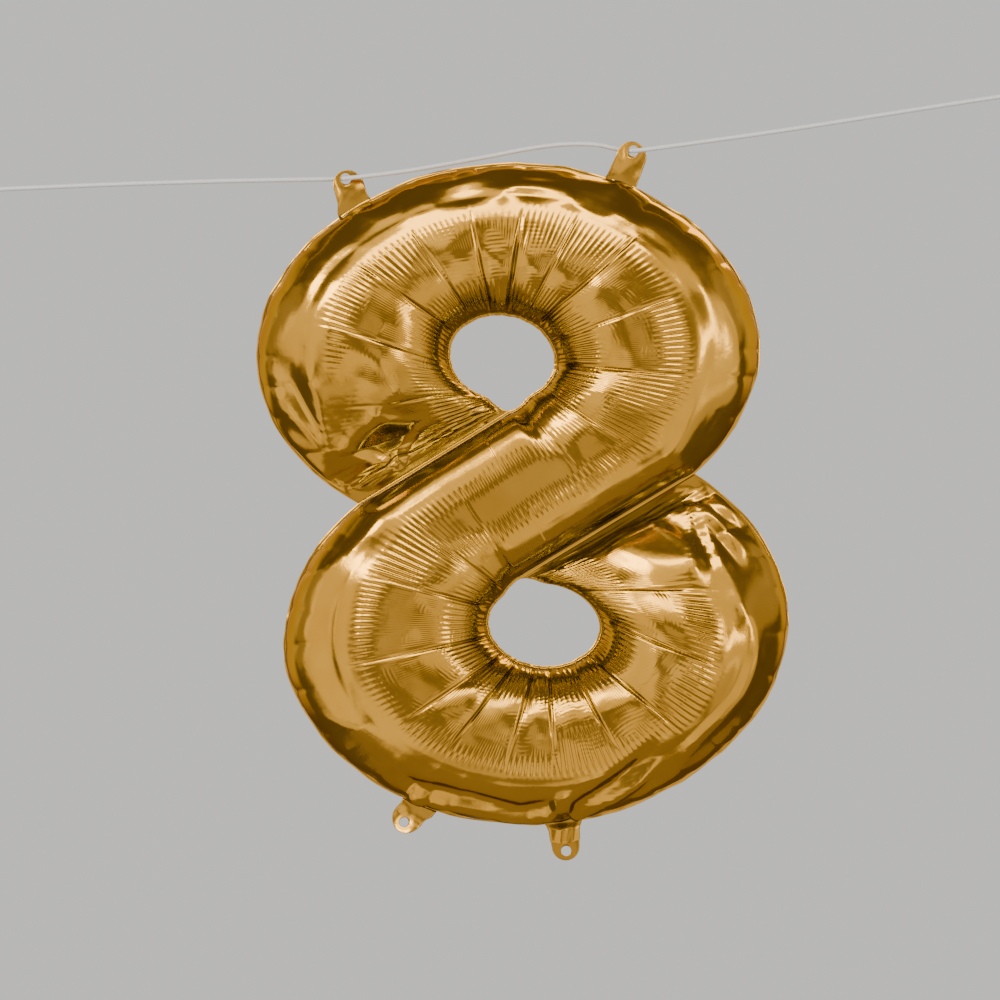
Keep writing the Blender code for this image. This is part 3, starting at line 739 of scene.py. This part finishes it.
def build_skins():
    t0, home, sim = film()
    nr, nc = ((1701, 49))
    t = np.interp(np.linspace(0, 1, nr), np.linspace(0, 1, len(t0)), t0)
    base = resample(sim, nr, nc)
    calm_base = resample(home, nr, nc)
    q, ring = loop_coordinate(t, np.linspace(0, 1, nc))
    flat = 0.70 * smooth((q - 0.34) / 0.08) * smooth((0.90 - q) / 0.08)
    flat = np.maximum(flat, (1 - away_from_notches(base, t)) * smooth((q - 0.10) / 0.10))
    base = base + (calm_base - base) * flat[..., None]
    left, right = sides(t)
    lw, rw = strip(t)
    made = []
    for name, sgn, seed, mat in (("front_film", -1, 100, GOLD_FRONT), ("back_film", 1, 500, GOLD_BACK)):
        x = base.copy()
        n = normals_of(x)
        soft = np.minimum(1, x[..., 2] / 1.4)
        rise = detail(x, t, seed, sgn < 0)
        x += n * (rise * soft)[..., None]
        x[..., 2] = np.maximum(x[..., 2], 0.0)
        made.append((name, sgn, mat, x))
    # shared seam: a little scallop in the plane and a little wave across it
    rows = nr / 1401.0
    scal_l = smooth_noise(nr, 16 * rows, 71) * 0.45 + smooth_noise(nr, 6 * rows, 72) * 0.16
    scal_r = smooth_noise(nr, 16 * rows, 73) * 0.45 + smooth_noise(nr, 6 * rows, 74) * 0.16
    wave_l = smooth_noise(nr, 20 * rows, 75) * 0.5 + smooth_noise(nr, 7 * rows, 76) * 0.25
    wave_r = smooth_noise(nr, 20 * rows, 77) * 0.5 + smooth_noise(nr, 7 * rows, 78) * 0.25
    ends = smooth(np.minimum(t, ROWS - t) / 1.5)
    outer_l = smooth((A1 - 0.5 - t) / 1.2)
    outer_r = smooth((t - A4 - 0.5) / 1.2)
    eye_l = smooth((t - A3 - 0.8) / 1.5)
    eye_r = smooth((A2 - 0.8 - t) / 1.5)
    kl = ends * (outer_l + 0.45 * eye_l)
    kr = ends * (outer_r + 0.45 * eye_r)
    out_dir = left - right
    out_dir /= np.hypot(out_dir[:, 0], out_dir[:, 1])[:, None]
    skins = []
    for name, sgn, mat, x in made:
        dist_l = np.sqrt(((x - x[:, :1]) ** 2).sum(-1))
        dist_r = np.sqrt(((x - x[:, -1:]) ** 2).sum(-1))
        fall_l, fall_r = np.exp(-dist_l / 5.0), np.exp(-dist_r / 5.0)
        move = (fall_l * (scal_l * kl)[:, None])[..., None] * out_dir[:, None, :] - (fall_r * (scal_r * kr)[:, None])[..., None] * out_dir[:, None, :]
        wave = fall_l * (wave_l * kl)[:, None] + fall_r * (wave_r * kr)[:, None]
        xz = x[..., :2] + move
        y = sgn * (x[..., 2] + 0.12) + wave
        # sealed flange on both sides: edge, middle
        el = left + out_dir * (scal_l * kl)[:, None]
        er = right - out_dir * (scal_r * kr)[:, None]
        wl, wr = wave_l * kl, wave_r * kr
        def col(p, w, lift):
            return np.concatenate([p, (sgn * lift + w)[:, None]], 1)
        sl, sr = xz[:, 0], xz[:, -1]
        cols = [col(el, wl * 1.3, 0.0), col(el * 0.94 + sl * 0.06, wl * 1.3, 0.10), col(el * 0.35 + sl * 0.65, wl * 1.1, 0.11)]
        body = np.concatenate([xz, y[..., None]], -1)
        cols2 = [col(er * 0.35 + sr * 0.65, wr * 1.1, 0.11), col(er * 0.94 + sr * 0.06, wr * 1.3, 0.10), col(er, wr * 1.3, 0.0)]
        full = np.concatenate([np.stack(cols, 1), body, np.stack(cols2, 1)], 1)
        # half weld beyond the first and last rows
        share0 = np.sqrt(((full[0, :, :2] - full[0, 0, :2]) ** 2).sum(-1))
        share0 /= share0[-1]
        share1 = np.sqrt(((full[-1, :, :2] - full[-1, 0, :2]) ** 2).sum(-1))
        share1 /= share1[-1]
        first = np.zeros((1, full.shape[1], 3))
        final = np.zeros((1, full.shape[1], 3))
        first[0, :, :2] = lerp2(LEFT_NOTCH, UPPER_EYE_TIP, share0)
        final[0, :, :2] = lerp2(LOWER_EYE_TIP, RIGHT_NOTCH, share1)
        first[0, :, 2] = final[0, :, 2] = sgn * 0.10
        full = np.concatenate([first, full, final], 0)
        pts = np.stack([full[..., 0], full[..., 2], full[..., 1]], -1) * MM
        ob = grid_object(name, pts, mat, flip=(sgn > 0))
        # run along the tube, run across it (mm) and where the fine hatch lies
        run = tube_run(x, t, int(round((nc - 1) * 0.45)))
        over = np.concatenate([np.zeros((nr, 1)), np.cumsum(np.sqrt((np.diff(x, axis=1) ** 2).sum(-1)), 1)], 1)
        over = np.where(t[:, None] < (A1 + A4) / 2, over, over[:, -1:] - over)
        hatch = smooth((q - 0.38) / 0.06) * smooth((0.84 - q) / 0.05) * ring * away_from_notches(x, t)
        store = np.zeros(full.shape)
        store[1:-1, 3:-3] = np.stack([run[:, None] + 0 * over, over, hatch], -1)
        store[1:-1, :3] = store[1:-1, 3:4]
        store[1:-1, -3:] = store[1:-1, -4:-3]
        store[0], store[-1] = store[1], store[-2]
        store[..., 2][:, :3] = store[..., 2][:, -3:] = 0
        layer = ob.data.attributes.new("film_map", "FLOAT_VECTOR", "POINT")
        layer.data.foreach_set("vector", np.ascontiguousarray(store, dtype=np.float32).ravel())
        skins.append(ob)
    return skins


# ------------------------------------------------------------------ tabs
def tab_points(length, width, up, hole_r, taper, reach, skew, rings=9, around=84):
    """Local (x, z) points from the hole's edge to the tab's outline."""
    half, tip = width / 2, width / 2 * taper
    ang = 2 * math.pi * (np.arange(around) + 0.5) / around
    lo, hi = np.zeros(around), np.full(around, 3 * (length + width))
    for _ in range(36):
        m = (lo + hi) / 2
        x, z = np.cos(ang) * m, up + np.sin(ang) * m
        w = half + (tip - half) * np.clip(z / (length - tip), 0, 1) + 1.6 * smooth((1.5 - z) / 3.5)
        ok = (z >= skew * x - reach) & (np.abs(x) <= w) & ((z <= length - tip) | (np.hypot(x, z - (length - tip)) <= tip))
        lo, hi = np.where(ok, m, lo), np.where(ok, hi, m)
    share = np.linspace(0, 1, rings) ** 1.15
    r = hole_r + (lo - hole_r)[None, :] * share[:, None]
    return np.stack([np.cos(ang)[None, :] * r, up + np.sin(ang)[None, :] * r], -1)


def tab_object(name, root, lean, twist, length, width, up, hole_r, shape, taper=1.0, reach=2.4, skew=0.0, thick=0.17, mat=None):
    pts = tab_points(length, width, up, hole_r, taper, reach, skew)
    x, z = pts[..., 0], pts[..., 1]
    y = shape(x, z) * smooth((np.hypot(x, z - up) - hole_r - 1.5) / 4.5)
    layers = []
    for sgn in (-1, 1):
        th = np.full(x.shape, thick / 2)
        th[0] *= 0.55
        th[-1] *= 0.35
        yy = y + sgn * th
        tw = math.radians(twist) * smooth(z / (up * 0.8))
        px = x * np.cos(tw) - yy * np.sin(tw)
        py = x * np.sin(tw) + yy * np.cos(tw)
        le = math.radians(lean)
        wx = px * math.cos(le) + z * math.sin(le) + root[0]
        wz = -px * math.sin(le) + z * math.cos(le) + root[2]
        layers.append(np.stack([wx, py + root[1], wz], -1))
    # one closed ring of quads: front from hole to rim, back from rim to hole
    loop = np.concatenate([layers[0], layers[1][::-1]], 0) * MM
    ob = grid_object(name, loop, mat or GOLD_TAB, wrap_r=True, wrap_c=True, flip=False)
    return ob


def crinkle(seed, amp, k=0.55):
    rng = np.random.RandomState(seed)
    waves = [(rng.uniform(-1, 1) * k, rng.uniform(-1, 1) * k, rng.uniform(0, 6.28), rng.uniform(0.4, 1)) for _ in range(7)]
    def f(x, z):
        s = 0
        for a, b, c, d in waves:
            s = s + d * (np.abs(((a * x + b * z + c) / math.pi) % 2 - 1) - 0.5)
        return amp * s / 3.0
    return f


EYELET_X = 71.75
R13, R27 = math.radians(13), math.radians(27)


def build_tabs():
    made = {}
    c1, c2, c3, c4 = crinkle(5, 0.55, 0.5), crinkle(6, 0.6, 0.45), crinkle(7, 0.5, 0.5), crinkle(8, 0.4, 0.5)

    def flat_root(z, f):
        return f * smooth((z - 0.5) / 5.0)

    left = lambda x, z: flat_root(z, -0.9 * (x / 7.75) ** 2 + 0.8 * np.cos(x / 7.75 * 2.2 + 0.5) * 0.5 + c1(x, z))
    made["tab_top_left"] = tab_object("top_left_tab_film", (-EYELET_X + 12.5 * math.sin(R13), 0, -12.5 * math.cos(R13)), -13, 16, 16.7, 15.5, 12.5, 2.75, left, skew=0.235, reach=3.2)
    right = lambda x, z: flat_root(z, 0.7 * np.cos((x - 1.5) / 7.75 * 2.4) - 0.4 + c2(x, z))
    made["tab_top_right"] = tab_object("top_right_tab_film", (EYELET_X - 16.0 * math.sin(R27), 0, -16.0 * math.cos(R27)), 27, 16, 20.6, 15.5, 16.0, 2.75, right, skew=0.05, reach=3.2)
    low = lambda x, z: flat_root(z, -1.6 * np.clip(x / 7.5, 0, 1) ** 2 + 1.3 * np.clip(-x / 7.5, 0, 1) ** 2 - 0.03 * z * z * 0.25 + c3(x, z))
    made["tab_bottom_left"] = tab_object("bottom_left_tab_film", (-67.6, 0, -314.8), 225, 24, 13.6, 15.0, 8.5, 2.5, low, skew=0.335, reach=3.6)
    back = lambda x, z: flat_root(z, 0.25 * np.cos(x / 8 * 3.0) + 0.5 * c4(x, z))
    made["filler_tail_back"] = tab_object("filler_tail_back_film", (5.2, 0.38, -329.5), 180, 0, 17.9, 16.0, 13.2, 2.5, back, taper=0.86, reach=2.2)

    # the short front ply of the tail: a shallow channel with a dipped lip
    nu, nv = 41, 27
    u = np.linspace(-1, 1, nu)[None, :]
    v = np.linspace(0, 1, nv)[:, None]
    long = 9.6 - 1.5 * np.abs(u) ** 1.6
    z = -2.2 + v * (long + 2.2)
    half = 7.9 - 0.5 * np.clip(z / 9.6, 0, 1) + 1.3 * smooth((1.2 - z) / 3.4)
    x = u * half
    swell = smooth((z + 1.0) / 4.0)
    y = -0.22 - swell * (1.75 * (1 - u ** 2) ** 1.2 + 0.35 * np.cos(u * 7.0 + z * 0.25) * (1 - u ** 2) + 0.25 * c4(x, z + 0 * u) * (1 - u ** 2))
    lay = []
    for th in (0.0, -0.16):
        edge_in = np.minimum(1, np.minimum((1 - np.abs(u)) * 14, (1 - v) * 12 + 0 * u))
        lay.append(np.stack([x + 5.2, y + th * (0.3 + 0.7 * np.clip(edge_in, 0, 1)), -329.3 - z + 0 * u], -1))
    ring = np.concatenate([lay[0], lay[1][:, ::-1]], 1) * MM
    made["filler_tail_front"] = grid_object("filler_tail_front_film", ring, GOLD_TAB, wrap_c=True)
    return made


# ------------------------------------------------------------------ string
def catmull(points, pitch):
    pts = [Vector(p) for p in points]
    pts = [pts[0] * 2 - pts[1]] + pts + [pts[-1] * 2 - pts[-2]]
    out = []
    for k in range(1, len(pts) - 2):
        p0, p1, p2, p3 = pts[k - 1:k + 3]
        steps = max(1, round((p2 - p1).length / pitch))
        t1 = (p1 - p0).length ** 0.5
        t2 = t1 + (p2 - p1).length ** 0.5
        t3 = t2 + (p3 - p2).length ** 0.5
        for s in range(steps):
            t = t1 + (t2 - t1) * s / steps
            a1 = p0 * ((t1 - t) / t1) + p1 * (t / t1)
            a2 = p1 * ((t2 - t) / (t2 - t1)) + p2 * ((t - t1) / (t2 - t1))
            a3 = p2 * ((t3 - t) / (t3 - t2)) + p3 * ((t - t2) / (t3 - t2))
            b1 = a1 * ((t2 - t) / t2) + a2 * (t / t2)
            b2 = a2 * ((t3 - t) / (t3 - t1)) + a3 * ((t - t1) / (t3 - t1))
            out.append(b1 * ((t2 - t) / (t2 - t1)) + b2 * ((t - t1) / (t2 - t1)))
    out.append(pts[-2])
    return np.array([tuple(p) for p in out])


STRING_ROUTE = [
    (-262.0, 0.0, 12.2), (-226.0, 0.0, 10.4), (-189.0, 0.0, 8.4), (-156.0, 0.2, 6.3),
    (-126.5, 0.8, 4.3), (-100.0, 1.8, 2.3), (-84.0, 2.9, 1.1), (-76.5, 2.1, 0.5), (-EYELET_X, 0.0, 0.2),
    (-67.0, -2.1, 0.1), (-60.0, -2.9, 0.2), (-40.0, -2.4, 0.9), (-15.0, -1.0, 2.9), (3.0, 0.0, 4.5),
    (20.5, 0.6, 6.2), (38.0, 1.4, 6.7), (54.0, 2.4, 5.0), (61.5, 3.1, 2.7), (67.0, 2.4, 0.9),
    (EYELET_X, 0.0, 0.2), (76.5, -2.1, 0.0), (84.0, -2.9, 0.2), (100.0, -1.8, 0.9), (132.0, -0.6, 2.3),
    (158.0, 0.0, 3.7), (189.5, 0.0, 5.6), (228.0, 0.0, 7.9), (266.0, 0.0, 10.0),
]


def rope(name, path, radius, closed=False, around=24, pitch=5.2):
    """Three-strand twisted string swept along a path (mm)."""
    p = np.asarray(path, float)
    n = len(p)
    tang = (np.roll(p, -1, 0) - np.roll(p, 1, 0)) if closed else np.gradient(p, axis=0)
    tang /= np.sqrt((tang ** 2).sum(-1))[:, None]
    side = np.zeros_like(p)
    ref = np.array([0.0, 1.0, 0.0]) if abs(tang[0, 1]) < 0.9 else np.array([1.0, 0, 0])
    cur = ref - tang[0] * (ref @ tang[0])
    for i in range(n):
        cur = cur - tang[i] * (cur @ tang[i])
        cur /= math.sqrt(cur @ cur)
        side[i] = cur
    up = np.cross(tang, side)
    run = np.concatenate([[0], np.cumsum(np.sqrt((np.diff(p, axis=0) ** 2).sum(-1)))])
    turns = run / pitch
    if closed:
        total = run[-1] + math.sqrt(((p[0] - p[-1]) ** 2).sum())
        turns = run / total * max(1, round(total / pitch * 3)) / 3.0
    th = np.linspace(0, 2 * math.pi, around, endpoint=False)[None, :]
    lobe = np.abs(np.cos(1.5 * (th - 2 * math.pi * turns[:, None])))
    fuzz = 0.012 * np.sin(run[:, None] * 9.0 + th * 5)
    r = radius * (0.74 + 0.27 * lobe ** 0.7 + fuzz)
    if not closed:
        taper = np.minimum(1, np.minimum(run, run[-1] - run) / 0.8)
        r = r * np.sqrt(np.clip(taper, 0.02, 1))[:, None]
    pts = p[:, None] + r[..., None] * (np.cos(th)[..., None] * side[:, None] + np.sin(th)[..., None] * up[:, None])
    return grid_object(name, pts * MM, STRING_MAT, wrap_r=closed, wrap_c=True, flip=True)


def build_string():
    path = catmull(STRING_ROUTE, 0.62)
    main = rope("hanging_string_rope", path, 1.17)
    parts = {"hanging_string": main}
    for side, end, sgn in (("left", STRING_ROUTE[0], -1), ("right", STRING_ROUTE[-1], 1)):
        centre = np.array((end[0] + sgn * 2.9, end[1], end[2] + 0.1))
        a = np.linspace(0, 2 * math.pi, 90, endpoint=False)
        tre = np.stack([-0.72 * np.sin(3 * a), 0.72 * (np.cos(a) - 2 * np.cos(2 * a)), 0.72 * (np.sin(a) + 2 * np.sin(2 * a))], -1)
        parts[side + "_knot"] = rope(side + "_knot_turns", centre + tre, 0.98, closed=True, around=18)
        a = np.linspace(0, 2 * math.pi, 110, endpoint=False)
        grow = 5.0 + 2.6 * (0.5 - 0.5 * np.cos(a))
        ring = np.stack([centre[0] + sgn * (4.1 + 7.2 * (1 - np.cos(a)) * 0.62), centre[1] + 0 * a, centre[2] + grow * 0.62 * np.sin(a)], -1)
        parts[side + "_end_loop"] = rope(side + "_end_loop_string", ring, 1.05, closed=True, around=18)
    return parts, path


# ------------------------------------------------------------------ stage, light, camera
def build_stage():
    floor_z = -1.5
    n = 64
    bm = bmesh.new()
    bmesh.ops.create_circle(bm, cap_ends=True, segments=n, radius=1.25)
    mesh = bpy.data.meshes.new("studio_floor")
    bm.to_mesh(mesh)
    bm.free()
    floor = bpy.data.objects.new("studio_floor", mesh)
    floor.location.z = floor_z
    bpy.context.collection.objects.link(floor)
    mat, nt, bsdf = mat_new("studio_floor_paint")
    tex = node(nt, "ShaderNodeTexNoise", Scale=3.0, Detail=4.0)
    ramp = nt.nodes.new("ShaderNodeValToRGB")
    ramp.color_ramp.elements[0].color = (0.82, 0.81, 0.79, 1)
    ramp.color_ramp.elements[1].color = (0.86, 0.85, 0.83, 1)
    nt.links.new(tex.outputs["Fac"], ramp.inputs["Fac"])
    # painted shade: every ray except the camera's sees the floor as a darker grey (0.46), so its reflection in the
    # film and its bounce light are dimmer than the pale floor the camera sees
    path = nt.nodes.new("ShaderNodeLightPath")
    shade = nt.nodes.new("ShaderNodeMix")
    shade.data_type = "RGBA"
    sock = [k for k in shade.inputs if k.type == "RGBA"]
    sock[0].default_value = (0.46, 0.44, 0.41, 1)
    nt.links.new(path.outputs["Is Camera Ray"], shade.inputs[0])
    nt.links.new(ramp.outputs["Color"], sock[1])
    nt.links.new([k for k in shade.outputs if k.type == "RGBA"][0], bsdf.inputs["Base Color"])
    bsdf.inputs["Roughness"].default_value = 0.85
    mesh.materials.append(mat)


def area(name, at, aim, size, size_y, power, colour=(1, 1, 1)):
    data = bpy.data.lights.new(name, "AREA")
    data.shape = "RECTANGLE"
    data.size, data.size_y = size, size_y
    data.energy = power
    data.color = colour
    ob = bpy.data.objects.new(name, data)
    bpy.context.collection.objects.link(ob)
    ob.location = at
    ob.rotation_euler = (Vector(aim) - Vector(at)).to_track_quat("-Z", "Y").to_euler()
    return ob


def lobe(nt, direction, edge_in, edge_out, value):
    """A soft-edged bright patch of sky around a direction; the edges are cosines."""
    d = Vector(direction).normalized()
    geo = nt.nodes.new("ShaderNodeTexCoord")
    dot = node(nt, "ShaderNodeVectorMath", operation="DOT_PRODUCT")
    dot.inputs[1].default_value = d
    nt.links.new(geo.outputs["Generated"], dot.inputs[0])
    m = nt.nodes.new("ShaderNodeMapRange")
    m.interpolation_type = "SMOOTHSTEP"
    m.inputs["From Min"].default_value = edge_out
    m.inputs["From Max"].default_value = edge_in
    m.inputs["To Min"].default_value = 0.0
    m.inputs["To Max"].default_value = value
    nt.links.new(dot.outputs["Value"], m.inputs["Value"])
    return m.outputs["Result"]


def build_light():
    mid = (0.0, 0.0, -0.165)
    area("key_softbox", (-0.95, -1.15, 0.80), mid, 0.62, 0.5, 9.5, (1.0, 0.96, 0.90))
    area("top_softbox", (0.15, -1.05, 0.95), mid, 1.3, 0.30, 7.5, (1.0, 0.97, 0.92))
    area("right_strip", (1.05, -1.0, 0.10), mid, 0.16, 0.8, 2.2, (1.0, 0.97, 0.93))
    area("rear_fill", (0.6, 1.5, 0.8), mid, 0.8, 0.7, 8.0, (1.0, 0.98, 0.96))
    world = bpy.data.worlds.new("studio_world")
    bpy.context.scene.world = world
    world.use_nodes = True
    nt = world.node_tree
    for n in list(nt.nodes):
        nt.nodes.remove(n)
    out = nt.nodes.new("ShaderNodeOutputWorld")
    mix = nt.nodes.new("ShaderNodeMixShader")
    path = nt.nodes.new("ShaderNodeLightPath")
    seen = nt.nodes.new("ShaderNodeBackground")
    seen.inputs["Color"].default_value = (0.80, 0.79, 0.77, 1)
    seen.inputs["Strength"].default_value = 0.88
    # a dim room with broad soft panels in front, above and behind
    total = None
    for direction, inner, outer, value in (
            ((0, -1, 0.0), 0.85, 0.05, 0.17),
            ((0.05, -1, -0.03), 0.986, 0.970, 0.42),
            ((-0.20, -0.76, 0.62), 0.945, 0.895, 1.02),
            ((0.45, -0.72, 0.53), 0.970, 0.945, 0.80),
            ((-0.80, -0.60, 0.10), 0.945, 0.895, 0.92),
            ((-0.45, -0.75, -0.46), 0.98, 0.945, 0.88),
            ((0.82, -0.56, -0.05), 0.965, 0.905, 0.80),
            ((0.35, -0.82, -0.44), 0.97, 0.935, 0.80),
            ((-0.75, -0.35, -0.55), 0.97, 0.93, 0.75),
            ((0.0, -0.62, -0.80), 0.975, 0.935, 0.60),
            ((0.75, -0.35, -0.55), 0.97, 0.93, 0.55),
            ((0.95, -0.10, 0.30), 0.96, 0.91, 0.35),
            ((-0.95, -0.05, 0.25), 0.96, 0.91, 0.30),
            ((0.72, 0.66, 0.20), 0.95, 0.82, 0.60),
            ((-0.72, 0.66, 0.20), 0.95, 0.82, 0.60),
            ((0.0, 0.92, 0.35), 0.94, 0.80, 0.42)):
        part = lobe(nt, direction, inner, outer, value)
        if total is None:
            total = part
            continue
        add = node(nt, "ShaderNodeMath", operation="ADD")
        nt.links.new(total, add.inputs[0])
        nt.links.new(part, add.inputs[1])
        total = add.outputs[0]
    base = node(nt, "ShaderNodeMath", operation="ADD")
    nt.links.new(total, base.inputs[0])
    base.inputs[1].default_value = 0.150
    lit = nt.nodes.new("ShaderNodeBackground")
    lit.inputs["Color"].default_value = (1.0, 0.975, 0.94, 1)
    level = node(nt, "ShaderNodeMath", operation="MULTIPLY")
    level.inputs[1].default_value = 0.93
    nt.links.new(base.outputs[0], level.inputs[0])
    nt.links.new(level.outputs[0], lit.inputs["Strength"])
    nt.links.new(path.outputs["Is Camera Ray"], mix.inputs["Fac"])
    nt.links.new(lit.outputs[0], mix.inputs[1])
    nt.links.new(seen.outputs[0], mix.inputs[2])
    nt.links.new(mix.outputs[0], out.inputs["Surface"])


def build_camera():
    """Level and square on, rolled so that the eight leans the way it hangs in the picture."""
    roll = math.radians(5.5)
    data = bpy.data.cameras.new("camera")
    cam = bpy.data.objects.new("camera", data)
    bpy.context.collection.objects.link(cam)
    right = Vector((math.cos(roll), 0, -math.sin(roll)))
    up = Vector((math.sin(roll), 0, math.cos(roll)))
    back = right.cross(up)
    rot = Matrix((right, up, back)).transposed().to_4x4()
    away = 2.6
    centre = Vector((-0.0108, 0.0, -0.1661))
    cam.matrix_world = Matrix.Translation(centre + back * away) @ rot
    data.sensor_width = 36.0
    data.lens = 36.0 * away / 0.4965
    data.clip_end = 50
    bpy.context.scene.camera = cam
    return cam


# ------------------------------------------------------------------ assembly
build_camera()
build_light()
build_stage()

ropes, string_path = build_string()
for name, ob in ropes.items():
    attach(ob, "string")
    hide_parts(name)

skins = build_skins()
for ob, panel in zip(skins, ("front_panel", "back_panel")):
    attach(ob, "balloon")
    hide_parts(panel)

tabs = build_tabs()
for name, ob in tabs.items():
    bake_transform(ob)
    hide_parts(name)

for name in ("valve_front_film", "valve_back_film"):
    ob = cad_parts[name]
    for k in range(len(ob.material_slots)):
        ob.material_slots[k].material = VALVE_MAT
